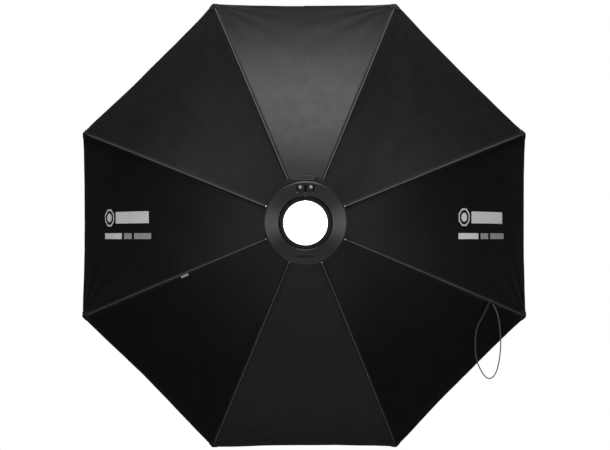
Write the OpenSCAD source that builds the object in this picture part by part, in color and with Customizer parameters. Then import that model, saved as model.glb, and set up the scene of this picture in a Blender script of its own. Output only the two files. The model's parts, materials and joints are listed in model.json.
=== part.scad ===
// Collapsible octagonal softbox with a built-in speedring.
// Eight ribs hinge in the ring and fold forward; cloth panels span from rib to rib.
// Row frame: +Y runs along the light's axis towards the front, +Z is up,
// and the origin is the centre of the bore's rear mouth.

/* [Octagon] */
// Distance across the flats at the front rim
across_flats = 1200; // [1000:10:1440]
// Slope of a rib where it leaves the ring, from the ring's own plane
root_slope = 19; // [17:1:22]
// Slope of a rib at the rim, from the ring's own plane
rim_slope = 55; // [46:1:66]
// Depth of the cloth lip in front of the rim
lip_depth = 42; // [30:1:60]

/* [Cloth] */
// Thickness of the shell cloth with its reflective lining
cloth_t = 1.2; // [0.8:0.1:2]
// Thickness of the white diffuser cloth
diffuser_t = 1; // [0.6:0.1:2]
// Radius of the inner baffle at its corners
baffle_r = 385; // [300:5:470]
// Depth of the inner baffle in front of the bore's rear mouth
baffle_depth = 235; // [180:5:290]

/* [Ribs] */
// Radius of a rib rod
rod_r = 3; // [2.5:0.1:3.6]
// Radius of the knuckle's socket around the rod
socket_r = 5; // [4.5:0.1:6]
// Length of the knuckle from its pin to the socket's mouth
knuckle_l = 46; // [38:1:55]
// Length of the cap on a rod's tip
cap_l = 24; // [20:1:30]
// Radius of a hinge pin
pin_r = 2; // [1.6:0.1:2.4]

/* [Speedring] */
// Radius of the bore that takes the flash head
bore_r = 52; // [43:0.5:62.5]
// Depth of the bore's wall
bore_l = 40; // [34:1:48]
// Thickness of the rubber liner
liner_t = 3; // [2:0.1:4]
// Wall of the clamp collar
collar_t = 5; // [4:0.1:6]
// Width of the split through the liner and the collar
split_w = 5; // [4:0.5:6]
// Length of the clamp lever's swing arm, from the pin to the middle of the grip
lever_reach = 20.5; // [18:0.5:24]

/* [Hidden] */
$fn = 72;
ribs = 8;
step_az = 360 / ribs;
half_az = step_az / 2;
first_az = half_az;
lap = 0.02; // what one shape of a union reaches into the next
bend_lap = 0.01; // the same for a bent bar, in degrees

// Running clearances
gap = 0.3;          // between pieces that move past each other
pin_play = 0.06;    // a knuckle on its pin
pin_seat = 0.02;    // a pin in the housing

// Depths along the axis
cover_back = -1.5;
cover_face_drop = 8;      // how far the cover's face slopes from crown to edge
cover_wall = 2.5;
housing_back = 20;
housing_front = bore_l + 4;
flange_t = 2.3;
plate_t = 2.5;            // front plate
liner_lip_t = 2.5;

// Radii of the ring, from the bore outwards
liner_out = bore_r + liner_t;
collar_out = liner_out + collar_t;
cover_in = collar_out + 2.2;
housing_in = collar_out + 4.5;
collar_rim = housing_in + 3.5;
hinge_r = housing_in + 15.5;
housing_out = hinge_r + 10;
cover_out = housing_out + 7;
tab_out = cover_out + 13;
gasket_out = cover_out + 1.5;

// Hinge of a rib
eye_r = 7;
knuckle_w = 12;
slot_w = knuckle_w + 2 * gap;
hinge_a = housing_back + 3.5 + eye_r + gap;
slot_floor = hinge_a - eye_r - gap;
slot_in = hinge_r - eye_r - 0.5;
pin_l = slot_w + 12;
stop_in = hinge_r + 7.5;

// Rib centreline in its radial plane, as [radius, depth]
rod_root = 15;            // the rod starts this far from the pin
root_straight = knuckle_l + 4;
tip_straight = cap_l - 4;
corner_r = across_flats / 2 / cos(half_az);
cloth_off = socket_r + 0.8;   // cloth's inner face, from a rib's centreline
tip_r = corner_r - cloth_off - 0.5;
bend_r = (tip_r - hinge_r - root_straight * cos(root_slope) - tip_straight * cos(rim_slope))
    / (sin(rim_slope) - sin(root_slope));
bend_start = [hinge_r, hinge_a] + root_straight * [cos(root_slope), sin(root_slope)];
bend_centre = bend_start + bend_r * [-sin(root_slope), cos(root_slope)];
bend_end = bend_centre + bend_r * [sin(rim_slope), -cos(rim_slope)];
rib_tip = bend_end + tip_straight * [cos(rim_slope), sin(rim_slope)];

// Shell panels
shell_root_r = (housing_out + 1) / cos(half_az);
lip_lean = 2;
binding_w = 5;
binding_t = 1;
binding_root = 18.5;      // the binding starts this far from the pin
panel_steps = 14;
seam_gap = 0.4;

// Front diffuser
diffuser_a = rib_tip.y + 7;
diffuser_r = corner_r - 4;

// Clamp
ear_w = 16;
ear_back = 4.5;
ear_t = 7.5;
window_out = housing_out - 2;
ear_top = window_out - 0.5;
clamp_pin_r = 2.5;
clamp_pin_x = split_w / 2 + 10;
clamp_pin_y = hinge_r + 3;
bolt_y = collar_out + 9;
lever_back = ear_back + ear_t + 0.8;
lever_t = 6;
window_w = 2 * (clamp_pin_x + 8.5);
window_in = cover_in + 6.3;
tab_az = 25;

// Hanging loop on the third rib. Its points and its tab's two ends are [x, y, z] from the
// point of the seam that it hangs by, and run down the middle of the cord.
loop_rib = 3;
loop_seam_r = 514;
loop_r = 1.5;
loop_sides = 8;
loop_tab_w = 8;
loop_tab_t = 1.4;
loop_tab_top = [3, -2, 6];
loop_route = [
    [-18, -2, -36], [-23, -2, -46], [-31, -1, -61], [-36, 0, -81], [-38, 0, -103], [-38, 0, -124],
    [-36, 0, -144], [-31, 0, -162], [-24, 0, -177], [-16, 0, -190], [-6, 0, -198], [4, 0, -197],
    [12, 0, -188], [18, 0, -175], [22, 0, -159], [25, 0, -140], [27, 0, -120], [27, 0, -99],
    [26, 0, -78], [24, 1, -58], [21, 3, -40], [17, 5, -26], [12, 8, -15], [8, 10, -8]
];

// Label in the sixth rib's seam
label_rib = 6;
label_seam_r = 310;
label_size = [20, 5, 0.6];

// ---- Frames -------------------------------------------------------------------------------

// Ring frame (x left as seen from behind, y up, z to the front) to the row frame
module row_frame() { rotate([90, 0, 180]) children(); }

// Children at the top of the ring are carried clockwise, as seen from behind
module at_az(az) { rotate([0, 0, az]) children(); }

// Children are drawn with x outwards, y to the front and z across the rib
module in_rib_plane() { rotate([90, 0, 90]) children(); }

function rib_az(i) = first_az + (i - 1) * step_az;

module on_rib(i) { row_frame() at_az(rib_az(i)) children(); }

module around_ribs() { for (i = [1:ribs]) at_az(rib_az(i)) children(); }

module between_ribs() { for (i = [0:ribs - 1]) at_az(i * step_az) children(); }

// ---- Plain shapes --------------------------------------------------------------------------

module ring(r_out, r_in, z0, z1) {
    difference() {
        translate([0, 0, z0]) cylinder(r = r_out, h = z1 - z0);
        translate([0, 0, z0 - 1]) cylinder(r = r_in, h = z1 - z0 + 2);
    }
}

// A wedge from the axis, centred on the top and reaching az to each side
module wedge(r, az, z0, z1) {
    reach = r / cos(az);
    translate([0, 0, z0]) linear_extrude(z1 - z0)
        polygon([[0, 0], [-reach * sin(az), reach * cos(az)], [0, r / cos(az) + r],
            [reach * sin(az), reach * cos(az)]]);
}

module split_cut() {
    translate([-split_w / 2, 0, cover_back - 1]) cube([split_w, housing_out, bore_l + 10]);
}

// A round bar in the rib plane, along the rib's root direction
module root_bar(r, s0, s1) {
    translate([hinge_r, hinge_a, 0]) rotate([0, 0, root_slope])
        translate([s0, 0, 0]) rotate([0, 90, 0]) cylinder(r = r, h = s1 - s0);
}

// A round bar in the rib plane, along the rib's tip direction, measured back from the tip
module tip_bar(r, s0, s1) {
    translate([rib_tip.x, rib_tip.y, 0]) rotate([0, 0, rim_slope])
        translate([-s1, 0, 0]) rotate([0, 90, 0]) cylinder(r = r, h = s1 - s0);
}

// ---- Speedring -----------------------------------------------------------------------------

module hub_housing() {
    color([0.07, 0.07, 0.08]) row_frame() difference() {
        union() {
            ring(housing_out, housing_in, housing_back, housing_front);
            ring(cover_out, housing_in, housing_back, housing_back + flange_t);
            intersection() {
                ring(tab_out, housing_in, housing_back, housing_back + flange_t);
                wedge(tab_out, tab_az, housing_back - 1, housing_front);
            }
        }
        // seat of the collar's front rim
        ring(collar_rim + 1, 0, bore_l - gap, housing_front + 1);
        around_ribs() rib_slot();
        around_ribs() pin_hole();
        between_ribs() translate([0, hinge_r, housing_front - 12]) cylinder(r = 1.6, h = 13);
    }
}

// The slot that a knuckle swings in, with the stop that holds the rib open
module rib_slot() {
    difference() {
        translate([-slot_w / 2, slot_in, slot_floor]) cube([slot_w, tab_out, housing_front]);
        translate([-slot_w, stop_in, slot_floor - 1])
            cube([2 * slot_w, housing_out - stop_in + 1, stop_height() - slot_floor + 1]);
    }
}

// Underside of a socket where it passes the stop, less the running gap
function stop_height() =
    hinge_a + (stop_in - hinge_r) * tan(root_slope) - socket_r / cos(root_slope) - gap;

module pin_hole() {
    translate([-pin_l / 2, hinge_r, hinge_a]) rotate([0, 90, 0])
        cylinder(r = pin_r + pin_seat, h = pin_l);
}

module hinge_pins() {
    color([0.75, 0.75, 0.77]) row_frame() around_ribs()
        translate([-pin_l / 2 + 0.1, hinge_r, hinge_a]) rotate([0, 90, 0])
            cylinder(r = pin_r, h = pin_l - 0.2);
}

// Profile of the rear cover as [radius, depth]: a sloping face and a straight skirt
module cover_profile() {
    edge = cover_back + cover_face_drop;
    polygon([[cover_in, cover_back + 0.8], [cover_in + 0.8, cover_back], [cover_out - 3, edge - 0.8],
        [cover_out - 0.8, edge + 0.4], [cover_out, edge + 2], [cover_out, housing_back],
        [cover_out - cover_wall, housing_back], [cover_out - cover_wall, edge + cover_wall + 1],
        [cover_in + cover_wall, cover_back + cover_wall + 0.6], [cover_in + cover_wall, ear_back + 6],
        [cover_in, ear_back + 6]]);
}

module rear_cover() {
    badge_y = (cover_in + cover_out) / 2 - 1.5;
    badge_floor = cover_back + cover_face_drop * (badge_y - cover_in) / (cover_out - cover_in) + 1.5;
    color([0.2, 0.2, 0.21]) row_frame() difference() {
        rotate_extrude() cover_profile();
        // window over the clamp's ears and pins
        translate([-window_w / 2, window_in, cover_back - 1])
            cube([window_w, window_out - window_in, ear_back + 12]);
        // room for the ears behind the cover's inner edge
        translate([-window_w / 2, 0, ear_back - 0.8]) cube([window_w, window_out, ear_t + 6]);
        // opening in the skirt for the lever
        wedge(tab_out, tab_az + 4, lever_back - 0.8, housing_back + 1);
        // blank slot at the bottom
        translate([0, -badge_y, cover_back - 1]) {
            translate([-17, -3.5, 0]) cube([34, 7, badge_floor - cover_back + 1]);
            for (side = [-1, 1]) translate([side * 17, 0, 0])
                cylinder(r = 3.5, h = badge_floor - cover_back + 1);
        }
    }
}

module front_plate() {
    color([0.08, 0.08, 0.09]) row_frame() difference() {
        ring(housing_out, housing_in - 2, housing_front, housing_front + plate_t);
        around_ribs() translate([-slot_w / 2 - 0.4, slot_in - 1, housing_front - 1])
            cube([slot_w + 0.8, tab_out, plate_t + 2]);
        between_ribs() translate([0, hinge_r, housing_front - 1]) cylinder(r = 1.7, h = plate_t + 2);
    }
}

module plate_screws() {
    color([0.7, 0.7, 0.72]) row_frame() between_ribs() translate([0, hinge_r, 0]) difference() {
        union() {
            translate([0, 0, housing_front - 10]) cylinder(r = 1.5, h = 10 + plate_t + lap);
            translate([0, 0, housing_front + plate_t]) cylinder(r = 3, h = 2);
        }
        translate([0, 0, housing_front + plate_t + 0.8]) cylinder(r = 1.3, h = 3, $fn = 6);
    }
}

// Depth of the shell's outer face near its root, on a rib
function root_depth(r) = root_point(cloth_off + cloth_t).y + (r - shell_root_r) * tan(root_slope);

// A flared cuff that closes the gap between the housing's flange and the cloth's root
module hub_gasket() {
    z0 = housing_back + flange_t;
    r0 = housing_out + 2;
    color([0.03, 0.03, 0.03]) row_frame() rotate_extrude()
        polygon([[r0, z0], [gasket_out, z0], [gasket_out, root_depth(gasket_out) - gap],
            [r0, root_depth(r0) - gap]]);
}

module clamp_collar() {
    color([0.1, 0.1, 0.11]) row_frame() difference() {
        union() {
            ring(collar_out, liner_out, liner_lip_t, bore_l);
            ring(collar_rim, liner_out, bore_l, bore_l + 3.5);
            for (side = [-1, 1]) translate([side > 0 ? 0 : -split_w / 2 - ear_w, collar_out - 3, ear_back])
                cube([split_w / 2 + ear_w, ear_top - collar_out + 3, ear_t]);
        }
        split_cut();
        translate([0, 0, liner_lip_t - 1]) cylinder(r = liner_out, h = bore_l + 10);
        for (side = [-1, 1]) translate([side * clamp_pin_x, clamp_pin_y, ear_back - 1])
            cylinder(r = clamp_pin_r + 0.1, h = ear_t + 2);
        translate([-window_w, bolt_y, ear_back + ear_t / 2]) rotate([0, 90, 0])
            cylinder(r = 2.1, h = 2 * window_w);
    }
}

module grip_liner() {
    color([0.05, 0.05, 0.05]) row_frame() difference() {
        union() {
            ring(liner_out, bore_r, 0, bore_l);
            ring(collar_out, bore_r, 0, liner_lip_t);
            translate([-split_w, bore_r + 1, 0])
                cube([2 * split_w, cover_in - 2 * gap - bore_r - 1, liner_lip_t]);
        }
        // the lip stays whole and covers the split, with a tongue over the gap between the ears
        translate([0, 0, liner_lip_t - cover_back + 1]) split_cut();
    }
}

// The lever's pin on the right and the anchor pin on the left, heads to the rear
module clamp_pins() {
    color([0.85, 0.85, 0.86]) row_frame() for (side = [-1, 1])
        translate([side * clamp_pin_x, clamp_pin_y, 0]) {
            translate([0, 0, ear_back - 2]) cylinder(r = 3.7, h = 2);
            translate([0, 0, ear_back - lap])
                cylinder(r = clamp_pin_r, h = side < 0 ? lever_back + lever_t - ear_back : ear_t);
        }
}

module clamp_bolt() {
    ear_out = split_w / 2 + ear_w;
    color([0.6, 0.6, 0.62]) row_frame() translate([0, bolt_y, ear_back + ear_t / 2]) rotate([0, 90, 0]) {
        translate([0, 0, -ear_out - lap]) cylinder(r = 2, h = 2 * ear_out + 2 * lap);
        translate([0, 0, -ear_out - 3]) cylinder(r = 3.4, h = 3);
        translate([0, 0, ear_out]) cylinder(r = 4, h = 3, $fn = 6);
    }
}

// Seen from behind, the lever turns on the right-hand pin and its grip lies over the top
module clamp_lever() {
    grip_in = cover_out + 1.5;
    grip_out = tab_out;
    arm_az = 5;
    color([0.06, 0.06, 0.065]) row_frame() difference() {
        union() {
            translate([-clamp_pin_x, clamp_pin_y, lever_back]) cylinder(r = 8, h = lever_t);
            translate([-clamp_pin_x, clamp_pin_y, lever_back]) rotate([0, 0, 6])
                translate([-6, 0, 0]) cube([12, lever_reach, lever_t]);
            intersection() {
                ring(grip_out, grip_in, lever_back, lever_back + lever_t);
                at_az(-(tab_az + arm_az - 14) / 2)
                    wedge(grip_out, (tab_az + arm_az + 12) / 2 - 1, lever_back - 1, lever_back + lever_t + 1);
            }
        }
        translate([-clamp_pin_x, clamp_pin_y, lever_back - 1])
            cylinder(r = clamp_pin_r + 0.05, h = lever_t + 2);
        // finger grooves along the grip
        for (k = [0:2]) ring(grip_in + 4.4 + 3 * k, grip_in + 3.2 + 3 * k, lever_back - 1, lever_back + 0.7);
    }
}

// ---- Ribs ----------------------------------------------------------------------------------

module rib_knuckle(i) {
    color([0.09, 0.09, 0.1]) on_rib(i) in_rib_plane() difference() {
        union() {
            translate([hinge_r, hinge_a, -knuckle_w / 2]) cylinder(r = eye_r, h = knuckle_w);
            root_bar(socket_r, 0, knuckle_l);
            translate([hinge_r, hinge_a, 0]) rotate([0, 0, root_slope])
                translate([0, 0, -3.5]) cube([knuckle_l - 14, 6.6, 7]);
        }
        translate([hinge_r, hinge_a, -knuckle_w]) cylinder(r = pin_r + pin_play, h = 2 * knuckle_w);
        root_bar(rod_r + 0.05, rod_root, knuckle_l + 1);
    }
}

// The straight ends are a hair thinner than the bend and reach into it, which keeps its end faces whole
module rib_rod(i) {
    end_r = rod_r - 0.02;
    color([0.55, 0.56, 0.58]) on_rib(i) in_rib_plane() {
        root_bar(end_r, rod_root + 0.2, root_straight + 0.1);
        translate([bend_centre.x, bend_centre.y, 0]) rotate([0, 0, root_slope - 90])
            rotate_extrude(angle = rim_slope - root_slope, $fn = 240)
                translate([bend_r, 0]) circle(r = rod_r, $fn = 48);
        tip_bar(end_r, 6.2, tip_straight + 0.1);
    }
}

module tip_cap(i) {
    color([0.06, 0.06, 0.06]) on_rib(i) in_rib_plane() difference() {
        union() {
            tip_bar(rod_r + 1.4, 4, cap_l);
            tip_bar(rod_r + 1.9, cap_l - 4, cap_l);
            translate([rib_tip.x, rib_tip.y, 0]) rotate([0, 0, rim_slope]) translate([-4, 0, 0])
                sphere(r = rod_r + 1.4);
        }
        tip_bar(rod_r + 0.05, 6, cap_l + 1);
    }
}

// ---- Cloth ---------------------------------------------------------------------------------

// Point of a rib's centreline where its slope is a, moved outwards from the shell's inside by off
function rib_point(a, off) = bend_centre + (bend_r + off) * [sin(a), -cos(a)];

// The slope at which the offset line reaches radius r
function slope_at(r, off) = asin((r - bend_centre.x) / (bend_r + off));

// The shell's line along a rib, from under the gasket to the rim, as [radius, depth]
function root_point(off) =
    let (base = [hinge_r, hinge_a] + off * [sin(root_slope), -cos(root_slope)])
    base + (shell_root_r - base.x) * [1, tan(root_slope)];

function rim_point(off) = rib_tip + off * [sin(rim_slope), -cos(rim_slope)];

function shell_line(off) = concat(
    [root_point(off)],
    [for (k = [0:panel_steps]) rib_point(root_slope + (rim_slope - root_slope) * k / panel_steps, off)],
    [rim_point(off)]);

// A line's point carried to azimuth az, in the ring frame
function ring_point(p, az) = [-p.x * sin(az), p.x * cos(az), p.y];

// Two lines along the ribs, seen from a panel, with the seam's gap taken off each side
function panel_side(line, at_first) =
    let (across = [-sin(half_az + 90), cos(half_az + 90), 0] * seam_gap / 2 * (at_first ? 1 : -1))
    [for (p = line) ring_point(p, at_first ? 0 : step_az) + across];

// A sheet between two ribs: outer_line and inner_line are its two faces along a rib
module panel_sheet(outer_line, inner_line) {
    n = len(outer_line);
    a = panel_side(outer_line, true);
    b = panel_side(outer_line, false);
    c = panel_side(inner_line, false);
    d = panel_side(inner_line, true);
    polyhedron(
        points = concat(a, b, c, d),
        faces = concat(
            [for (k = [0:n - 2]) [k, k + 1, n + k + 1, n + k]],
            [for (k = [0:n - 2]) [n + k, n + k + 1, 2 * n + k + 1, 2 * n + k]],
            [for (k = [0:n - 2]) [2 * n + k, 2 * n + k + 1, 3 * n + k + 1, 3 * n + k]],
            [for (k = [0:n - 2]) [3 * n + k, 3 * n + k + 1, k + 1, k]],
            [[0, n, 2 * n, 3 * n], [n - 1, 4 * n - 1, 3 * n - 1, 2 * n - 1]]),
        convexity = 6);
}

// Each panel runs clockwise from rib i to the next, and its lip runs on forwards from the rim
module shell_panel(i) {
    off_out = cloth_off + cloth_t;
    lip_end = rim_point(off_out) + [-lip_lean, lip_depth];
    color([0.04, 0.04, 0.045]) on_rib(i) panel_sheet(
        concat(shell_line(off_out), [lip_end]),
        concat(shell_line(cloth_off), [lip_end - [cloth_t, 0]]));
}

// The raised binding over the seam on a rib
module seam_binding(i) {
    off = cloth_off + cloth_t + gap;
    color([0.05, 0.05, 0.055]) on_rib(i) in_rib_plane() {
        translate([hinge_r, hinge_a, 0]) rotate([0, 0, root_slope])
            translate([binding_root, -off - binding_t, -binding_w / 2])
                cube([root_straight - binding_root, binding_t, binding_w]);
        translate([bend_centre.x, bend_centre.y, 0]) rotate([0, 0, root_slope - 90 - bend_lap])
            rotate_extrude(angle = rim_slope - root_slope + 2 * bend_lap, $fn = 240)
                translate([bend_r + off, -binding_w / 2]) square([binding_t, binding_w]);
        translate([rib_tip.x, rib_tip.y, 0]) rotate([0, 0, rim_slope])
            translate([-tip_straight, -off - binding_t, -binding_w / 2])
                cube([tip_straight, binding_t, binding_w]);
    }
}

module front_diffuser() {
    color([0.95, 0.95, 0.94]) row_frame() translate([0, 0, diffuser_a]) rotate([0, 0, 90 - first_az])
        cylinder(r = diffuser_r, h = diffuser_t, $fn = ribs);
}

module inner_baffle() {
    color([0.93, 0.93, 0.92]) row_frame() translate([0, 0, baffle_depth]) rotate([0, 0, 90 - first_az])
        cylinder(r = baffle_r, h = diffuser_t, $fn = ribs);
}

// Elastic straps from the baffle's corners to the ribs
module baffle_straps() {
    rib_slope = acos((bend_centre.y - baffle_depth) / bend_r);
    strap_end = rib_point(rib_slope, 0).x - rod_r - 3;
    color([0.9, 0.9, 0.9]) row_frame() around_ribs()
        translate([-10, baffle_r + gap, baffle_depth]) cube([20, strap_end - baffle_r - gap, diffuser_t]);
}

// ---- Hanging loop and label ----------------------------------------------------------------

// Unit vector along a route at its point k
function along(route, k) =
    let (d = route[min(k + 1, len(route) - 1)] - route[max(k - 1, 0)]) d / norm(d);

// Twice as many points, each new one on a smooth curve through its four neighbours
function finer(route) = [for (k = [0:2 * (len(route) - 1)])
    let (j = floor(k / 2), n = len(route) - 1)
    k % 2 == 0 ? route[j]
        : (9 * (route[j] + route[j + 1]) - route[max(j - 1, 0)] - route[min(j + 2, n)]) / 16];

function tube_ring(centre, ahead, r, sides) =
    let (side = cross([0, 1, 0], ahead) / norm(cross([0, 1, 0], ahead)), up = cross(ahead, side))
    [for (k = [0:sides - 1]) centre + r * (cos(360 * k / sides) * side + sin(360 * k / sides) * up)];

module tube(route, r, sides) {
    n = len(route);
    polyhedron(
        points = [for (k = [0:n - 1]) each tube_ring(route[k], along(route, k), r, sides)],
        faces = concat(
            [for (k = [0:n - 2], s = [0:sides - 1])
                let (t = (s + 1) % sides)
                [k * sides + s, k * sides + t, (k + 1) * sides + t, (k + 1) * sides + s]],
            [[for (s = [sides - 1:-1:0]) s], [for (s = [0:sides - 1]) (n - 1) * sides + s]]),
        convexity = 10);
}

// Outside of the binding on rib i at radius r, as a world point
function seam_point(i, r) =
    let (off = cloth_off + cloth_t + gap + binding_t, p = rib_point(slope_at(r, off), off), az = rib_az(i))
    [p.x * sin(az), p.y, p.x * cos(az)];

module hang_loop() {
    color([0.3, 0.3, 0.31]) translate(seam_point(loop_rib, loop_seam_r))
        tube(finer(loop_route), loop_r, loop_sides);
}

// A sewn strap that lies on the seam and holds the loop's first end
module loop_tab() {
    run = loop_route[0] - loop_tab_top;
    color([0.12, 0.12, 0.12]) translate(seam_point(loop_rib, loop_seam_r) + loop_tab_top)
        rotate([0, -atan2(run.z, run.x), 0]) rotate([-slope_at(loop_seam_r, cloth_off), 0, 0])
            translate([0, -loop_tab_t / 2, -loop_tab_w / 2]) cube([norm(run), loop_tab_t, loop_tab_w]);
}

// A flag label sewn into the lower side of a seam
module care_label() {
    off = cloth_off + cloth_t + gap;
    slope = slope_at(label_seam_r, off);
    at = rib_point(slope, off);
    color([0.85, 0.85, 0.85]) on_rib(label_rib) in_rib_plane() translate([at.x, at.y, 0])
        rotate([0, 0, slope]) translate([0, -label_size.z, binding_w / 2 + gap])
            cube([label_size.x, label_size.z, label_size.y]);
}

// ---- Output --------------------------------------------------------------------------------

hub_housing();
rear_cover();
front_plate();
clamp_collar();
grip_liner();
clamp_pins();
clamp_bolt();
hinge_pins();
plate_screws();
hub_gasket();
inner_baffle();
baffle_straps();
front_diffuser();
clamp_lever();
for (i = [1:ribs]) {
    rib_knuckle(i);
    rib_rod(i);
    tip_cap(i);
    shell_panel(i);
    seam_binding(i);
}
loop_tab();
hang_loop();
care_label();
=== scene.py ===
"""Looks of a folding octagonal softbox: cloth, piping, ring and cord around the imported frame.

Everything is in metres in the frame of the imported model: +Y runs forwards along the light's axis, +Z is up
and the origin is the centre of the clamp bore's rear mouth.
"""

import json
import logging
import math
from dataclasses import dataclass, field
from enum import Enum
from typing import Callable, Sequence

import bmesh
import bpy
from mathutils import Matrix, Vector, noise


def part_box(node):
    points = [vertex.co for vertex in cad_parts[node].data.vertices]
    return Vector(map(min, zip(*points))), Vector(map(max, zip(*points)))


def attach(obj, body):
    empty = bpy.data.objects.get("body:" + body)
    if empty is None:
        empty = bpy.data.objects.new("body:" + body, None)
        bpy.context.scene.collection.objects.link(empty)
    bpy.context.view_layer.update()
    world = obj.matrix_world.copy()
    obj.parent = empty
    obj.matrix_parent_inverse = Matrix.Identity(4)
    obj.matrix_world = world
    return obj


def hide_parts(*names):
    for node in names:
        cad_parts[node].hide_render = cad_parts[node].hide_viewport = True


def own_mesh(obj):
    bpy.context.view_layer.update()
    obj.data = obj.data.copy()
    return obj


log = logging.getLogger("octabox")

MM = 0.001
FORWARD = Vector((0.0, 1.0, 0.0))
RIBS = 8
STEP = 2 * math.pi / RIBS
HALF = STEP / 2


def rib_azimuth(index: float) -> float:
    """Clockwise angle from the top, seen from behind, of rib 1 to 8.

    Args:
        index: The rib's number; a half between two numbers is the middle of the panel between them.

    Returns:
        The angle in radians.
    """
    return HALF + (index - 1) * STEP


def outwards(azimuth: float) -> Vector:
    """Unit vector from the axis at an azimuth.

    Args:
        azimuth: Angle round the axis, clockwise from the top.

    Returns:
        The unit vector.
    """
    return Vector((math.sin(azimuth), 0.0, math.cos(azimuth)))


def smooth(x: float) -> float:
    """Smooth step of x from 0 to 1.

    Args:
        x: The value to ease.

    Returns:
        The eased value.
    """
    x = min(max(x, 0.0), 1.0)
    return x * x * (3.0 - 2.0 * x)


# ---- Node trees ---------------------------------------------------------------------------------


class Tree:
    """A material's node tree, with short calls for the nodes that the finishes share."""

    def __init__(self, name: str) -> None:
        """Starts a material that holds one Principled shader.

        Args:
            name: The material's name.
        """
        self.material = bpy.data.materials.new(name)
        self.material.use_nodes = True
        self.tree = self.material.node_tree
        self.tree.nodes.clear()
        self.out = self.node("ShaderNodeOutputMaterial")
        self.shader = self.node("ShaderNodeBsdfPrincipled")
        self.link(self.shader.outputs["BSDF"], self.out.inputs["Surface"])

    def node(self, kind: str, **values: object) -> bpy.types.Node:
        """Adds a node and sets its properties.

        Args:
            kind: The node's type.
            values: Property names and values.

        Returns:
            The node.
        """
        made = self.tree.nodes.new(kind)
        for key, value in values.items():
            setattr(made, key, value)
        return made

    def link(self, source: bpy.types.NodeSocket, target: bpy.types.NodeSocket) -> None:
        """Links two sockets.

        Args:
            source: The socket that gives.
            target: The socket that takes.
        """
        self.tree.links.new(source, target)

    def set(self, **values: object) -> None:
        """Sets the shader's own sockets; an underscore in a name stands for a space.

        Args:
            values: Socket names and values.
        """
        for key, value in values.items():
            self.shader.inputs[key.replace("_", " ")].default_value = value

    def math(self, operation: str, first: object, second: object = 0.0,
             clamp: bool = False) -> bpy.types.NodeSocket:
        """A Math node on sockets or numbers.

        Args:
            operation: The node's operation.
            first: A socket or a number.
            second: A socket or a number.
            clamp: Whether the result is held from 0 to 1.

        Returns:
            The result's socket.
        """
        made = self.node("ShaderNodeMath", operation=operation, use_clamp=clamp)
        for socket, value in zip(made.inputs, (first, second)):
            if isinstance(value, bpy.types.NodeSocket):
                self.link(value, socket)
            else:
                socket.default_value = value
        return made.outputs[0]

    def object_position(self) -> bpy.types.NodeSocket:
        """Object coordinates, in metres.

        Returns:
            The socket.
        """
        return self.node("ShaderNodeTexCoord").outputs["Object"]

    def uv(self, name: str) -> tuple[bpy.types.NodeSocket, bpy.types.NodeSocket]:
        """The two coordinates of a UV map, in metres.

        Args:
            name: The map's name.

        Returns:
            The U and V sockets.
        """
        parts = self.node("ShaderNodeSeparateXYZ")
        self.link(self.node("ShaderNodeUVMap", uv_map=name).outputs["UV"], parts.inputs[0])
        return parts.outputs[0], parts.outputs[1]

    def noise(self, scale: float, detail: float = 3.0, place: bpy.types.NodeSocket | None = None,
              roughness: float = 0.5) -> bpy.types.NodeSocket:
        """A noise texture on object coordinates.

        Args:
            scale: Features per metre.
            detail: Octaves.
            place: Other coordinates to read.
            roughness: How much the finer octaves count.

        Returns:
            The factor's socket.
        """
        made = self.node("ShaderNodeTexNoise")
        made.inputs["Scale"].default_value = scale
        made.inputs["Detail"].default_value = detail
        made.inputs["Roughness"].default_value = roughness
        self.link(place or self.object_position(), made.inputs["Vector"])
        return made.outputs[0]

    def span(self, value: bpy.types.NodeSocket, low: float, high: float,
             to_low: float = 0.0, to_high: float = 1.0) -> bpy.types.NodeSocket:
        """Maps a value's range to another, clamped.

        Args:
            value: The socket to map.
            low: Start of its range.
            high: End of its range.
            to_low: What low becomes.
            to_high: What high becomes.

        Returns:
            The mapped socket.
        """
        made = self.node("ShaderNodeMapRange")
        self.link(value, made.inputs["Value"])
        for key, number in (("From Min", low), ("From Max", high), ("To Min", to_low), ("To Max", to_high)):
            made.inputs[key].default_value = number
        return made.outputs[0]

    def blend(self, share: bpy.types.NodeSocket, first: object, second: object) -> bpy.types.NodeSocket:
        """Mixes two colours.

        Args:
            share: How much of the second.
            first: A colour or a socket.
            second: A colour or a socket.

        Returns:
            The mixed colour's socket.
        """
        made = self.node("ShaderNodeMix", data_type="RGBA")
        self.link(share, made.inputs["Factor"])
        for socket, value in ((made.inputs[6], first), (made.inputs[7], second)):
            if isinstance(value, bpy.types.NodeSocket):
                self.link(value, socket)
            else:
                socket.default_value = (*value, 1.0)
        return made.outputs[2]

    def bump(self, height: bpy.types.NodeSocket, depth: float, below: bpy.types.NodeSocket | None = None,
             strength: float = 1.0) -> bpy.types.NodeSocket:
        """A bump of a height from 0 to 1.

        Args:
            height: The height's socket.
            depth: What a height of 1 stands for, in metres.
            below: A bump that this one lies on.
            strength: Share of the slope that shows.

        Returns:
            The normal's socket.
        """
        made = self.node("ShaderNodeBump")
        made.inputs["Strength"].default_value = strength
        made.inputs["Distance"].default_value = depth
        self.link(height, made.inputs["Height"])
        if below:
            self.link(below, made.inputs["Normal"])
        return made.outputs[0]

    def soft_edges(self, radius: float) -> bpy.types.NodeSocket:
        """Normals rounded over sharp edges.

        Args:
            radius: The rounding in metres.

        Returns:
            The normal's socket.
        """
        made = self.node("ShaderNodeBevel", samples=4)
        made.inputs["Radius"].default_value = radius
        return made.outputs[0]

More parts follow.
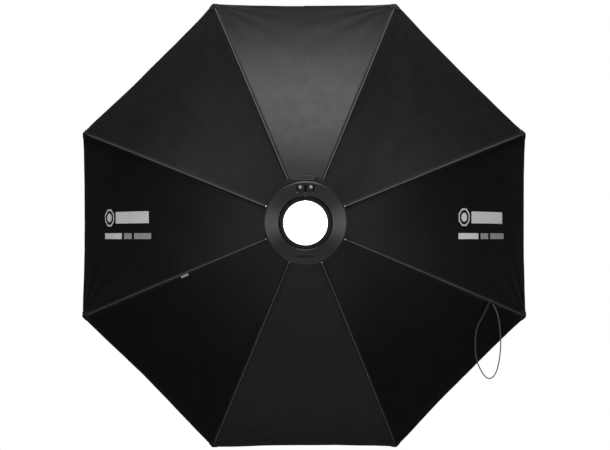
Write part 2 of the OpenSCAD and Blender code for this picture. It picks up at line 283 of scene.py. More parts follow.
    def weave(self, across: bpy.types.NodeSocket, along: bpy.types.NodeSocket,
              thread: float) -> bpy.types.NodeSocket:
        """Height of a plain weave, from two coordinates.

        Args:
            across: Coordinate across the cloth, in metres.
            along: Coordinate along the cloth, in metres.
            thread: Distance between threads, in metres.

        Returns:
            A height from 0 to 1.
        """
        turn = math.pi / thread
        warp = self.math("SINE", self.math("MULTIPLY", across, turn))
        weft = self.math("SINE", self.math("MULTIPLY", along, turn))
        crossing = self.math("MULTIPLY", warp, weft)
        return self.math("ABSOLUTE", self.math("ADD", self.math("MULTIPLY", crossing, 0.5),
                                               self.math("MULTIPLY", warp, 0.5)))

    def line(self, value: bpy.types.NodeSocket, at: float, half: float) -> bpy.types.NodeSocket:
        """1 where a coordinate is within half of a place, else 0.

        Args:
            value: The coordinate.
            at: The place.
            half: Half the line's width.

        Returns:
            The mask's socket.
        """
        return self.math("LESS_THAN", self.math("ABSOLUTE", self.math("SUBTRACT", value, at)), half)

    def dashes(self, value: bpy.types.NodeSocket, pitch: float, share: float) -> bpy.types.NodeSocket:
        """1 on the stitches of a row along a coordinate, else 0.

        Args:
            value: The coordinate.
            pitch: Distance from stitch to stitch.
            share: How much of it is thread.

        Returns:
            The mask's socket.
        """
        return self.math("LESS_THAN", self.math("FRACT", self.math("DIVIDE", value, pitch)), share)


# ---- Finishes -----------------------------------------------------------------------------------


class MarkSide(Enum):
    """The panel that carries a printed mark, as the sign of the way outwards from the axis."""

    NONE = 0.0
    RIGHT = 1.0
    LEFT = -1.0


@dataclass(frozen=True)
class NylonFinish:
    """Black woven nylon of the shell: weave, faint creases, painted shade beside the seams, and the hem's and
    seams' stitches.
    """

    name: str = "black_nylon"
    colour: tuple[float, float, float] = (0.0035, 0.0035, 0.0038)
    worn: tuple[float, float, float] = (0.006, 0.006, 0.0064)
    thread_colour: tuple[float, float, float] = (0.035, 0.035, 0.037)
    ink: tuple[float, float, float] = (0.92, 0.92, 0.91)
    roughness: float = 0.49
    sheen: float = 0.03
    thread: float = 0.45 * MM
    stitch: float = 3.2 * MM
    hem: float = 14 * MM
    # Width of the painted shade beside each seam.
    painted_seam_shade: float = 9 * MM
    mark_at: float = 0.672

    def make(self, length: float, mark_side: MarkSide = MarkSide.NONE) -> bpy.types.Material:
        """Builds the material.

        Args:
            length: Distance from the cloth's root to the rim, which places the hem's stitches.
            mark_side: Which side's printed mark the cloth carries.

        Returns:
            The material.
        """
        marked = mark_side is not MarkSide.NONE
        t = Tree(f"{self.name}_marked_{mark_side.name.lower()}" if marked else self.name)
        across, along = t.uv("cloth")
        middle, _ = t.uv("panel")
        tone = t.span(t.noise(9.0, 4.0), 0.35, 0.7)
        dust = t.span(t.noise(160.0, 2.0), 0.5, 0.8, 0.0, 0.5)
        colour = t.blend(t.math("ADD", t.math("MULTIPLY", tone, 0.6), t.math("MULTIPLY", dust, 0.3), True),
                         self.colour, self.worn)
        away = t.math("ABSOLUTE", across)
        from_rim = t.math("SUBTRACT", length, along)
        rows = t.math("MULTIPLY", t.dashes(middle, self.stitch, 0.72),
                      t.math("MAXIMUM", t.line(from_rim, 2.5 * MM, 0.4 * MM),
                             t.line(from_rim, self.hem - 2.5 * MM, 0.4 * MM)))
        seams = t.math("MULTIPLY", t.dashes(along, self.stitch, 0.72), t.line(away, 5.5 * MM, 0.4 * MM))
        stitches = t.math("MAXIMUM", rows, seams)
        # Painted shade: the cloth turns darker and rougher towards each seam, standing in for the shadow
        # beside the raised piping.
        painted_seam_shade = t.span(away, 1.5 * MM, self.painted_seam_shade, 1.0, 0.0)
        colour = t.blend(t.math("MULTIPLY", painted_seam_shade, 0.85), colour, (0.0008, 0.0008, 0.0008))
        colour = t.blend(stitches, colour, self.thread_colour)
        if marked:
            x = t.math("MULTIPLY", t.math("SUBTRACT", along, length * self.mark_at), mark_side.value)
            y = t.math("MULTIPLY", middle, -mark_side.value)
            colour = t.blend(self.mark(t, x, y), colour, self.ink)
        t.link(colour, t.shader.inputs["Base Color"])
        rough = t.span(t.noise(35.0, 3.0), 0.3, 0.7, self.roughness - 0.02, self.roughness + 0.03)
        t.link(t.math("ADD", rough, t.math("MULTIPLY", painted_seam_shade, 0.4)), t.shader.inputs["Roughness"])
        t.set(Specular_IOR_Level=0.3, Sheen_Weight=self.sheen, Sheen_Roughness=0.45)
        crease = t.bump(t.noise(26.0, 4.0, roughness=0.55), 1.1 * MM, strength=0.22)
        woven = t.bump(t.weave(across, along, self.thread), 0.12 * MM, crease, 0.55)
        sewn = t.bump(t.math("SUBTRACT", 1.0, stitches), 0.35 * MM, woven, 0.5)
        t.link(sewn, t.shader.inputs["Normal"])
        return t.material

    def mark(self, t: Tree, x: bpy.types.NodeSocket, y: bpy.types.NodeSocket) -> bpy.types.NodeSocket:
        """The generic printed mark: an eight-sided outline with plain blocks beside and below it.

        Args:
            t: The tree to build in.
            x: Signed distance to the right of the mark's middle.
            y: Signed distance above it.

        Returns:
            1 on the ink, else 0.
        """
        left = t.math("ABSOLUTE", t.math("SUBTRACT", x, -80 * MM))
        up = t.math("ABSOLUTE", t.math("SUBTRACT", y, 17 * MM))
        diagonal = t.math("MULTIPLY", t.math("ADD", left, up), math.sqrt(0.5))
        reach = t.math("MAXIMUM", t.math("MAXIMUM", left, up), diagonal)
        shown = t.math("MAXIMUM", t.line(reach, 20 * MM, 2 * MM), t.math("LESS_THAN", reach, 11 * MM))
        for start, stop, low, high, ink in ((-50, 94, 2, 32, 1.0), (-103, -20, -38, -23, 1.0),
                                            (-10, 24, -38, -23, 0.45), (34, 103, -38, -23, 0.45)):
            block = t.math("MULTIPLY", t.line(x, (start + stop) / 2 * MM, (stop - start) / 2 * MM),
                           t.line(y, (low + high) / 2 * MM, (high - low) / 2 * MM))
            shown = t.math("MAXIMUM", shown, t.math("MULTIPLY", block, ink))
        return shown


@dataclass(frozen=True)
class ClothFinish:
    """A plain woven cloth: lining, diffuser, webbing, tape or label."""

    name: str
    colour: tuple[float, float, float]
    shade: tuple[float, float, float]
    roughness: float
    thread: float
    depth: float = 0.15 * MM
    metallic: float = 0.0
    through: float = 0.0
    sheen: float = 0.1
    slack: tuple[float, float] = (40.0, 0.6 * MM)

    def make(self) -> bpy.types.Material:
        """Builds the material.

        Returns:
            The material.
        """
        t = Tree(self.name)
        place = t.node("ShaderNodeSeparateXYZ")
        t.link(t.object_position(), place.inputs[0])
        x, y, z = place.outputs
        tone = t.span(t.noise(22.0, 4.0), 0.3, 0.7)
        fibre = t.span(t.noise(900.0, 2.0), 0.35, 0.75, 0.0, 0.6)
        colour = t.blend(t.math("ADD", t.math("MULTIPLY", tone, 0.6), t.math("MULTIPLY", fibre, 0.5), True),
                         self.colour, self.shade)
        t.link(colour, t.shader.inputs["Base Color"])
        t.link(t.span(tone, 0.0, 1.0, self.roughness - 0.06, self.roughness + 0.06),
               t.shader.inputs["Roughness"])
        t.set(Metallic=self.metallic, Sheen_Weight=self.sheen, Specular_IOR_Level=0.3)
        woven = t.weave(t.math("ADD", x, t.math("MULTIPLY", y, 0.6)),
                        t.math("ADD", z, t.math("MULTIPLY", y, 0.8)), self.thread)
        waves = t.bump(t.noise(self.slack[0], 3.0), self.slack[1], strength=0.5)
        t.link(t.bump(woven, self.depth, waves, 0.6), t.shader.inputs["Normal"])
        if self.through:
            veil = t.node("ShaderNodeBsdfTranslucent")
            veil.inputs["Color"].default_value = (*self.colour, 1.0)
            mixed = t.node("ShaderNodeMixShader")
            mixed.inputs[0].default_value = self.through
            t.link(t.shader.outputs[0], mixed.inputs[1])
            t.link(veil.outputs[0], mixed.inputs[2])
            t.link(mixed.outputs[0], t.out.inputs["Surface"])
        return t.material


@dataclass(frozen=True)
class PlasticFinish:
    """Moulded plastic with a fine spark-eroded grain and slightly rubbed edges."""

    name: str
    colour: tuple[float, float, float]
    roughness: float
    grain: float = 0.06 * MM
    edge: float = 0.5 * MM
    specular: float = 0.5

    def make(self) -> bpy.types.Material:
        """Builds the material.

        Returns:
            The material.
        """
        t = Tree(self.name)
        lighter = tuple(min(1.0, c * 1.5 + 0.004) for c in self.colour)
        handled = t.span(t.noise(18.0, 4.0), 0.42, 0.72)
        t.link(t.blend(t.math("MULTIPLY", handled, 0.2), self.colour, lighter), t.shader.inputs["Base Color"])
        t.link(t.span(t.noise(45.0, 3.0), 0.3, 0.7, self.roughness - 0.02, self.roughness + 0.03),
               t.shader.inputs["Roughness"])
        t.set(Specular_IOR_Level=self.specular)
        t.link(t.bump(t.noise(2600.0, 2.0), self.grain, t.soft_edges(self.edge), 0.5),
               t.shader.inputs["Normal"])
        return t.material


@dataclass(frozen=True)
class MetalFinish:
    """Drawn or plated metal with fine streaks."""

    name: str
    colour: tuple[float, float, float]
    roughness: float
    streaks: tuple[float, float, float] = (60.0, 60.0, 60.0)

    def make(self) -> bpy.types.Material:
        """Builds the material.

        Returns:
            The material.
        """
        t = Tree(self.name)
        mapping = t.node("ShaderNodeMapping")
        mapping.inputs["Scale"].default_value = self.streaks
        t.link(t.object_position(), mapping.inputs["Vector"])
        streak = t.noise(14.0, 4.0, mapping.outputs[0])
        darker = tuple(c * 0.72 for c in self.colour)
        t.link(t.blend(t.span(streak, 0.35, 0.7), self.colour, darker), t.shader.inputs["Base Color"])
        t.link(t.span(streak, 0.3, 0.7, self.roughness - 0.06, self.roughness + 0.08),
               t.shader.inputs["Roughness"])
        t.set(Metallic=1.0)
        t.link(t.bump(streak, 0.03 * MM, t.soft_edges(0.3 * MM), 0.4), t.shader.inputs["Normal"])
        return t.material


@dataclass(frozen=True)
class RubberFinish:
    """Matt rubber, with optional ribs that run along the bore."""

    name: str
    colour: tuple[float, float, float] = (0.012, 0.012, 0.012)
    roughness: float = 0.72
    specular: float = 0.5
    ribs_round: int = 0

    def make(self) -> bpy.types.Material:
        """Builds the material.

        Returns:
            The material.
        """
        t = Tree(self.name)
        lighter = tuple(c * 1.8 + 0.004 for c in self.colour)
        t.link(t.blend(t.span(t.noise(70.0, 4.0), 0.4, 0.75), self.colour, lighter),
               t.shader.inputs["Base Color"])
        t.link(t.span(t.noise(120.0, 2.0), 0.3, 0.7, self.roughness - 0.06, self.roughness + 0.06),
               t.shader.inputs["Roughness"])
        t.set(Specular_IOR_Level=self.specular)
        normal = t.bump(t.noise(1500.0, 2.0), 0.05 * MM, t.soft_edges(0.3 * MM), 0.5)
        if self.ribs_round:
            place = t.node("ShaderNodeSeparateXYZ")
            t.link(t.object_position(), place.inputs[0])
            turn = t.math("ARCTAN2", place.outputs[0], place.outputs[2])
            wave = t.math("SINE", t.math("MULTIPLY", turn, float(self.ribs_round)))
            normal = t.bump(t.span(wave, -0.6, 0.6), 0.6 * MM, normal, 1.0)
        t.link(normal, t.shader.inputs["Normal"])
        return t.material


@dataclass(frozen=True)
class CordFinish:
    """Braided elastic cord, patterned along its own UV map."""

    name: str = "braided_cord"
    colour: tuple[float, float, float] = (0.035, 0.035, 0.037)
    fleck: tuple[float, float, float] = (0.11, 0.11, 0.112)
    roughness: float = 0.6

    def make(self) -> bpy.types.Material:
        """Builds the material.

        Returns:
            The material.
        """
        t = Tree(self.name)
        around, along = t.uv("braid")
        plus = t.math("SINE", t.math("MULTIPLY", t.math("ADD", along, around), 2 * math.pi * 3.0))
        minus = t.math("SINE", t.math("MULTIPLY", t.math("SUBTRACT", along, around), 2 * math.pi * 3.0))
        strands = t.math("MAXIMUM", plus, minus)
        t.link(t.blend(t.span(strands, 0.2, 1.0), self.colour, self.fleck), t.shader.inputs["Base Color"])
        t.set(Roughness=self.roughness, Sheen_Weight=0.2)
        t.link(t.bump(t.span(strands, -1.0, 1.0), 0.25 * MM, strength=0.8), t.shader.inputs["Normal"])
        return t.material


@dataclass
class Finishes:
    """Every material of the octabox, made once."""

    cloth_length: float
    made: dict[str, bpy.types.Material] = field(default_factory=dict)

    def __post_init__(self) -> None:
        """Makes the materials."""
        nylon = NylonFinish()
        self.made["shell"] = nylon.make(self.cloth_length)
        self.made["marked_right"] = nylon.make(self.cloth_length, MarkSide.RIGHT)
        self.made["marked_left"] = nylon.make(self.cloth_length, MarkSide.LEFT)
        self.made["braid"] = CordFinish().make()
        for key, finish in {
            "lining": ClothFinish("silver_lining", (0.62, 0.63, 0.64), (0.5, 0.5, 0.52), 0.38, 0.6 * MM,
                                  metallic=0.85),
            "white": ClothFinish("white_diffuser", (0.86, 0.86, 0.85), (0.8, 0.8, 0.79), 0.7, 0.5 * MM,
                                 through=0.45, slack=(5.0, 14 * MM)),
            "white_edge": ClothFinish("white_binding", (0.74, 0.74, 0.73), (0.66, 0.66, 0.65), 0.75, 1.1 * MM,
                                      depth=0.3 * MM),
            "elastic": ClothFinish("white_elastic", (0.72, 0.72, 0.71), (0.6, 0.6, 0.6), 0.7, 0.9 * MM,
                                   depth=0.3 * MM),
            "tape": ClothFinish("black_tape", (0.007, 0.007, 0.0075), (0.015, 0.015, 0.016), 0.5, 0.8 * MM,
                                depth=0.25 * MM, sheen=0.05),
            # The piping's grey is partly its own colour and partly a painted highlight: it is made lighter so
            # each seam shows a light line even where no lamp catches it.
            "piping": ClothFinish("piping_braid", (0.055, 0.055, 0.057), (0.085, 0.085, 0.087), 0.45,
                                  0.8 * MM, depth=0.25 * MM, sheen=0.05),
            "strap": ClothFinish("loop_webbing", (0.03, 0.03, 0.031), (0.05, 0.05, 0.051), 0.5, 0.9 * MM,
                                 depth=0.3 * MM, sheen=0.1),
            "label": ClothFinish("woven_label", (0.66, 0.66, 0.65), (0.5, 0.5, 0.5), 0.5, 0.4 * MM),
            "cover": PlasticFinish("cover_plastic", (0.021, 0.021, 0.023), 0.32),
            "housing": PlasticFinish("housing_plastic", (0.016, 0.016, 0.018), 0.5),
            "lever": PlasticFinish("lever_plastic", (0.02, 0.02, 0.022), 0.34, edge=1.6 * MM),
            "knuckle": PlasticFinish("knuckle_nylon", (0.02, 0.02, 0.022), 0.46, edge=0.4 * MM),
            "collar": PlasticFinish("powder_coat", (0.008, 0.008, 0.009), 0.5, grain=0.12 * MM),
            "bright": MetalFinish("bright_zinc", (0.78, 0.78, 0.8), 0.26),
            "pin": MetalFinish("satin_steel", (0.8, 0.8, 0.81), 0.5),
            "dark_steel": MetalFinish("oxide_steel", (0.05, 0.05, 0.052), 0.4),
            "rod": MetalFinish("drawn_steel", (0.55, 0.56, 0.58), 0.3),
            "liner": RubberFinish("ribbed_liner", (0.006, 0.006, 0.006), specular=0.3, ribs_round=150),
            "rubber": RubberFinish("black_rubber"),
        }.items():
            self.made[key] = finish.make()

    def __getitem__(self, key: str) -> bpy.types.Material:
        """The material of that name.

        Args:
            key: The finish's key.

        Returns:
            The material.
        """
        return self.made[key]


# ---- Mesh helpers -------------------------------------------------------------------------------


def finished(name: str, bm: bmesh.types.BMesh, materials: Sequence[bpy.types.Material],
             shaded: bool = True) -> bpy.types.Object:
    """Turns a bmesh into an object at the origin.

    Args:
        name: The object's name.
        bm: The bmesh, which is freed.
        materials: Its material slots.
        shaded: Whether it is shaded smooth.

    Returns:
        The object.
    """
    mesh = bpy.data.meshes.new(name)
    bm.to_mesh(mesh)
    bm.free()
    for material in materials:
        mesh.materials.append(material)
    mesh.polygons.foreach_set("use_smooth", [shaded] * len(mesh.polygons))
    made = bpy.data.objects.new(name, mesh)
    bpy.context.scene.collection.objects.link(made)
    return made


def mapped_grid(across: Sequence[float], along: Sequence[float], place: Callable[[float, float], Vector],
                uvs: dict[str, Callable[[float, float], tuple[float, float]]] | None = None
                ) -> bmesh.types.BMesh:
    """A grid whose columns and rows stand at given values, moved onto a surface.

    Args:
        across: The columns' values.
        along: The rows' values.
        place: The point for a column's and a row's value.
        uvs: UV maps to add, each with its own coordinates for the two values.

    Returns:
        The bmesh.
    """
    bm = bmesh.new()
    bmesh.ops.create_grid(bm, x_segments=len(across) - 1, y_segments=len(along) - 1, size=0.5)
    values = {}
    for v in bm.verts:
        column = round((v.co.x + 0.5) * (len(across) - 1))
        row = round((v.co.y + 0.5) * (len(along) - 1))
        values[v.index] = (across[column], along[row])
    for key, rule in (uvs or {}).items():
        layer = bm.loops.layers.uv.new(key)
        for face in bm.faces:
            for loop in face.loops:
                loop[layer].uv = rule(*values[loop.vert.index])
    for v in bm.verts:
        v.co = place(*values[v.index])
    return bm


def face_towards(bm: bmesh.types.BMesh, direction: Vector) -> None:
    """Turns an open sheet over if it faces away from a direction.

    Args:
        bm: The sheet.
        direction: Where its faces should look, on the whole.
    """
    bm.normal_update()
    if sum((f.normal * f.calc_area() for f in bm.faces), Vector()).dot(direction) < 0:
        bmesh.ops.reverse_faces(bm, faces=bm.faces[:])


def thicken(made: bpy.types.Object, thickness: float, inner_slot: int = 0) -> None:
    """Adds a live Solidify modifier that grows a sheet away from the side it faces.

    Args:
        made: The sheet.
        thickness: Its thickness.
        inner_slot: Slots from the outer face's material to the inner one's.
    """
    solid = made.modifiers.new("thickness", "SOLIDIFY")
    solid.thickness = thickness
    solid.offset = -1.0
    solid.material_offset = inner_slot


def apply_modifiers(made: Sequence[bpy.types.Object]) -> None:
    """Applies every modifier of some objects.

    Args:
        made: The objects.
    """
    graph = bpy.context.evaluated_depsgraph_get()
    for each in made:
        mesh = bpy.data.meshes.new_from_object(each.evaluated_get(graph))
        each.modifiers.clear()
        each.data = mesh
        mesh.name = each.name
        mesh.set_sharp_from_angle(angle=math.radians(38))


def tube(name: str, points: Sequence[Vector], radius: float, material: bpy.types.Material,
         sides: int = 12) -> bpy.types.Object:
    """A round bar along points, with closed ends and a UV map named braid.

    Args:
        name: The object's name.
        points: The points down its middle.
        radius: Its radius.
        material: Its material.
        sides: Its sides.

    Returns:
        The object.
    """
    travelled = [0.0]
    for a, b in zip(points, points[1:]):
        travelled.append(travelled[-1] + (b - a).length)
    frames = []
    up = Vector((0.0, -1.0, 0.0))
    for k, point in enumerate(points):
        ahead = (points[min(k + 1, len(points) - 1)] - points[max(k - 1, 0)]).normalized()
        up = (up - ahead * up.dot(ahead)).normalized()
        frames.append((point, up, ahead.cross(up)))
    numbers = {distance: k for k, distance in enumerate(travelled)}

    def place(turn: float, distance: float) -> Vector:
        """Point of the bar's skin.

        Args:
            turn: Share of the way round.
            distance: Distance from the shell's root, along a rib.

        Returns:
            The point.
        """
        centre, side, top = frames[numbers[distance]]
        angle = 2 * math.pi * turn
        return centre + radius * (side * math.cos(angle) + top * math.sin(angle))

    bm = mapped_grid([k / sides for k in range(sides + 1)], travelled, place,
                     {"braid": lambda turn, distance: (turn, distance / (2 * math.pi * radius))})
    bmesh.ops.remove_doubles(bm, verts=bm.verts[:], dist=radius * 0.01)
    bmesh.ops.holes_fill(bm, edges=[e for e in bm.edges if e.is_boundary], sides=0)
    bmesh.ops.recalc_face_normals(bm, faces=bm.faces[:])
    return finished(name, bm, [material])


def steps(start: float, stop: float, cell: float) -> list[float]:
    """Evenly spaced values from start to stop, no further apart than cell.

    Args:
        start: The first value.
        stop: The last value.
        cell: The largest gap.

    Returns:
        The values.
    """
    count = max(1, math.ceil(abs(stop - start) / cell))
    return [start + (stop - start) * k / count for k in range(count + 1)]


# ---- The ribs' line and the shell's surface ---------------------------------------------------------


@dataclass(frozen=True)
class RibLine:
    """The line that every rib follows in its own plane, as (radius, depth), and the shell outside it."""

    hinge: tuple[float, float]
    corner: float
    fold: float
    root_slope: float = math.radians(19)
    rim_slope: float = math.radians(55)
    straight: float = 50 * MM
    end_straight: float = 20 * MM
    cloth_inside: float = 5.8 * MM
    cloth: float = 1.2 * MM
    root_radius: float = 98.5 * MM
    lip: float = 42 * MM
    lip_lean: float = 2 * MM

    @property
    def outside(self) -> float:
        """Distance from the rib's line to the shell's outer face.

        Returns:
            The distance.
        """
        return self.cloth_inside + self.cloth

    @property
    def tip_radius(self) -> float:
        """Radius of the rib's tip.

        Returns:
            The radius.
        """
        return self.corner - self.cloth_inside - 0.5 * MM

    @property
    def bend(self) -> float:
        """Radius of the rib's bend.

        Returns:
            The radius.
        """
        run = (self.tip_radius - self.hinge[0] - self.straight * math.cos(self.root_slope)
               - self.end_straight * math.cos(self.rim_slope))
        return run / (math.sin(self.rim_slope) - math.sin(self.root_slope))

    @property
    def start(self) -> float:
        """How far along the rib from its pin the shell begins.

        Returns:
            The distance.
        """
        reach = self.root_radius - self.hinge[0] - self.outside * math.sin(self.root_slope)
        return reach / math.cos(self.root_slope)

    @property
    def length(self) -> float:
        """Length of the shell along a rib, from its root to the rim.

        Returns:
            The length.
        """
        return self.straight - self.start + self.bend * (self.rim_slope - self.root_slope) + self.end_straight

    def slope(self, distance: float) -> float:
        """Slope of the line at a distance from the shell's root.

        Args:
            distance: Distance from the shell's root, along a rib.

        Returns:
            The slope in radians.
        """
        along = distance + self.start - self.straight
        return self.root_slope + min(max(along / self.bend, 0.0), self.rim_slope - self.root_slope)

    def at(self, distance: float, off: float) -> tuple[float, float]:
        """Point of the line, moved outwards.

        Args:
            distance: Distance from the shell's root; past the rim it runs forwards up the lip.
            off: How far outwards from the rib's centreline.

        Returns:
            The radius and the depth.
        """
        slope = self.slope(distance)
        along = min(distance, self.length) + self.start
        bend_angle = slope - self.root_slope
        radius = self.hinge[0] + min(along, self.straight) * math.cos(self.root_slope)
        depth = self.hinge[1] + min(along, self.straight) * math.sin(self.root_slope)
        radius += self.bend * (math.sin(slope) - math.sin(self.root_slope))
        depth += self.bend * (math.cos(self.root_slope) - math.cos(slope))
        rest = along - self.straight - self.bend * bend_angle
        if rest > 0:
            radius += rest * math.cos(slope)
            depth += rest * math.sin(slope)
        radius += off * math.sin(slope)
        depth -= off * math.cos(slope)
        past = max(distance - self.length, 0.0)
        return radius - past * self.lip_lean / self.lip, depth + past

    def distance_at(self, radius: float) -> float:
        """Distance from the shell's root at which its outer face has a radius.

        Args:
            radius: The radius to reach.

        Returns:
            The distance.
        """
        low, high = 0.0, self.length
        for _ in range(40):
            middle = (low + high) / 2
            if self.at(middle, self.outside)[0] < radius:
                low = middle
            else:
                high = middle
        return low

    def gathered(self, radius: float, depth: float) -> float:
        """Share of its width that a half panel keeps when the ribs are folded.

        Args:
            radius: Radius on the rib of a line across the panel.
            depth: Its depth.

        Returns:
            The share, which brings the panel's middle onto the plane between its ribs.
        """
        reach = radius * math.cos(HALF) ** 2
        folded = (self.hinge[0] + (reach - self.hinge[0]) * math.cos(self.fold)
                  - (depth - self.hinge[1]) * math.sin(self.fold))
        return max(folded / reach, 0.03)


def rib_line() -> RibLine:
    """The rib's line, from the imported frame's joints and boxes.

    Returns:
        The line.
    """
    joint = next(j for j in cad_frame["joints"] if j["name"] == "rib_1_fold")
    x, y, z = joint["pos_m"]
    low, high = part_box("front_diffuser")
    return RibLine(hinge=(math.hypot(x, z), y), corner=(high[0] - low[0]) / 2 / math.cos(HALF) + 4 * MM,
                   fold=math.radians(joint["range_deg"][1]))


class Part(Enum):
    """Part of a band of cloth across a rib, with the ending of its piece's name."""

    WHOLE = ""
    OVER_ROD = "_over"
    CLOCKWISE = "_cw"
    ANTICLOCKWISE = "_acw"


@dataclass
class Shell:
    """Black cloth between the ribs, in strips that cross each rib from panel middle to panel middle."""

    line: RibLine
    finishes: Finishes
    bands: int = 15
    cell: float = 7 * MM
    sag: float = 9 * MM
    rim_sag: float = 5 * MM
    hem: float = 14 * MM
    hem_height: float = 1.0 * MM
    flap: float = 0.14
    tuck: float = 1.8 * MM
    flap_tuck: float = 3.4 * MM
    rim_tuck: float = 1.4 * MM
    lap: float = 6 * MM
    ridge: float = 1.4 * MM
    core: float = 9 * MM
    split_from: float = 0.35
    marked_panels: tuple[int, int] = (2, 6)

    def surface(self, panel: float, u: float, distance: float, lift: float = 0.0) -> Vector:
        """Point of the shell's outer face.

        Args:
            panel: The panel's number, which is that of the rib at its anticlockwise edge.
            u: From 0 at that rib to 1 at the next.
            distance: Distance from the root, along a rib.
            lift: How far outwards from the face.

        Returns:
            The point.
        """
        radius, depth = self.line.at(distance, self.line.outside)
        first = outwards(rib_azimuth(panel)) * radius
        second = outwards(rib_azimuth(panel + 1)) * radius
        across = first.lerp(second, u)
        slope = self.line.slope(distance) if distance <= self.line.length else math.pi / 2
        middle = outwards(rib_azimuth(panel + 0.5))
        normal = middle * math.sin(slope) - FORWARD * math.cos(slope)
        width = (second - first).length
        off_rib = min(u, 1 - u) * width
        push = lift - self.hang(distance) * 4 * u * (1 - u) + self.folds(panel, u, width, distance)
        push += self.ridge_at(distance) * math.exp(-(off_rib / (3.4 * MM)) ** 2)
        return across + FORWARD * depth + normal * push

    def ridge_at(self, distance: float) -> float:
        """How far the rod lifts the cloth in the seam over it.

        Args:
            distance: Distance from the shell's root, along a rib.

        Returns:
            The height.
        """
        return self.ridge * smooth((self.line.length - distance) / (60 * MM))

    def hang(self, distance: float) -> float:
        """How far the middle of a panel is drawn inwards, at a distance from the root.

        Args:
            distance: Distance from the shell's root, along a rib.

        Returns:
            The depth.
        """
        share = min(distance / self.line.length, 1.0)
        return self.rim_sag * smooth(share) + (self.sag - self.rim_sag / 2) * math.sin(math.pi * share) ** 1.5

    def folds(self, panel: float, u: float, width: float, distance: float) -> float:
        """Height of the cloth's soft folds and of the drag lines out of its corners.

        Args:
            panel: The panel's number.
            u: Share of the way across it.
            width: Its width there.
            distance: Distance from the root.

        Returns:
            The height, which is zero on the ribs.
        """
        pinned = min(1.0, 10 * u * (1 - u))
        share = min(distance / self.line.length, 1.0)
        x = (u - 0.5) * width
        soft = noise.noise(Vector((x * 7.0, distance * 4.0, panel * 3.7))) * 1.6 * MM
        fine = noise.noise(Vector((x * 24.0, distance * 13.0, panel * 9.1))) * 0.5 * MM
        drag = 0.0
        for corner in (0.0, 1.0):
            side = abs(u - corner) * width
            back = max(self.line.length - distance, 0.0)
            reach = math.hypot(side, back)
            turn = math.atan2(side, back + 1 * MM)
            fade = math.exp(-reach / (110 * MM)) * smooth(reach / (25 * MM))
            drag += math.sin(turn * 13 + panel + 2.0 * corner) * fade * 2.4 * MM
        return pinned * (soft * (0.4 + 0.6 * share) + fine + drag)

    def strip(self, rib: int, low: float, high: float, last: bool, part: Part) -> bpy.types.Object:
        """One band of cloth across a rib, or a part of it.

        Args:
            rib: The rib's number.
            low: Where the band begins, as a distance from the root.
            high: Where it ends.
            last: Whether it is the band at the rim, which carries the hem and the lip.
            part: Which part of the band.

        Returns:
            The open sheet, with its thickness still to come.
        """
        radius, _ = self.line.at(high, self.line.outside)
        half_width = radius * math.sin(HALF)
        count = max(5, math.ceil(half_width / self.cell))
        side = [k / count for k in range(count + 1)]
        side[1:1] = [near * MM / half_width for near in (1.4, 2.8, 4.6)]
        flap = [1 + 1 * MM / half_width, 1 + self.flap / 2, 1 + self.flap]
        core = self.core / half_width
        beside = [core - 2 * MM / half_width, core - 1 * MM / half_width, core]
        beside += [x for x in side if x > core + 0.5 * MM / half_width]
        over = [x for x in side if x < core - 0.5 * MM / half_width] + [core]
        across = {
            Part.WHOLE: [-x for x in reversed(side[1:])] + side + flap,
            Part.OVER_ROD: [-x for x in reversed(over[1:])] + over,
            Part.CLOCKWISE: beside + flap,
            Part.ANTICLOCKWISE: [-x for x in reversed(beside)],
        }[part]
        along = steps(low, high, self.cell)
        if last:
            hem = high - self.hem
            along = steps(low, hem - 0.3 * MM, self.cell) + steps(hem, high, self.hem / 3)
            along += steps(high, high + self.line.lip, self.cell)[1:]
        else:
            along += [high + 1 * MM, high + self.lap]

        def under(x: float, distance: float) -> float:
            """How far the cloth is tucked under its neighbour.

            Args:
                x: Where across the piece.
                distance: Distance from the shell's root, along a rib.

            Returns:
                The height, below zero where tucked.
            """
            tucked = self.rim_tuck if last and distance > low + 2 * self.lap else self.flap_tuck
            below = -tucked if x > 1.0 + 1e-9 else 0.0
            if part in (Part.CLOCKWISE, Part.ANTICLOCKWISE) and abs(x) < core - 1e-9:
                below = -self.rim_tuck
            return below - (self.tuck if not last and distance > high + 1e-9 else 0.0)

        def place(x: float, distance: float) -> Vector:
            """Point of the band.

            Args:
                x: Where across the piece.
                distance: Distance from the shell's root, along a rib.

            Returns:
                The point.
            """
            lift = under(x, distance)
            if last and distance >= high - self.hem:
                lift += self.hem_height
            if x >= 0:
                return self.surface(rib, x / 2, distance, lift)
            return self.surface(rib - 1, 1 + x / 2, distance, lift)

        def from_rib(x: float, distance: float) -> tuple[float, float]:
            """Metres from the rib and from the root.

            Args:
                x: Where across the piece.
                distance: Distance from the shell's root, along a rib.

            Returns:
                The two distances.
            """
            reach = self.line.at(distance, self.line.outside)[0] * math.sin(HALF)
            return x * reach, distance

        def from_middle(x: float, distance: float) -> tuple[float, float]:
            """Metres clockwise from the panel's middle, and from the root.

            Args:
                x: Where across the piece.
                distance: Distance from the shell's root, along a rib.

            Returns:
                The two distances.
            """
            reach = self.line.at(distance, self.line.outside)[0] * math.sin(HALF)
            return (x - math.copysign(1.0, x)) * reach, distance

        bm = mapped_grid(across, along, place, {"cloth": from_rib, "panel": from_middle})
        face_towards(bm, outwards(rib_azimuth(rib)) - FORWARD)
        clockwise = outwards(rib_azimuth(rib) + math.pi / 2)
        for face in bm.faces:
            panel = rib if face.calc_center_median().dot(clockwise) > 0 else (rib - 2) % RIBS + 1
            face.material_index = {self.marked_panels[0]: 2, self.marked_panels[1]: 4}.get(panel, 0)
        lining = self.finishes["lining"]
        return finished(f"shell_{rib}_{round(low / self.line.length * 100):02d}{part.value}", bm,
                        [self.finishes["shell"], lining, self.finishes["marked_right"], lining,
                         self.finishes["marked_left"], lining])

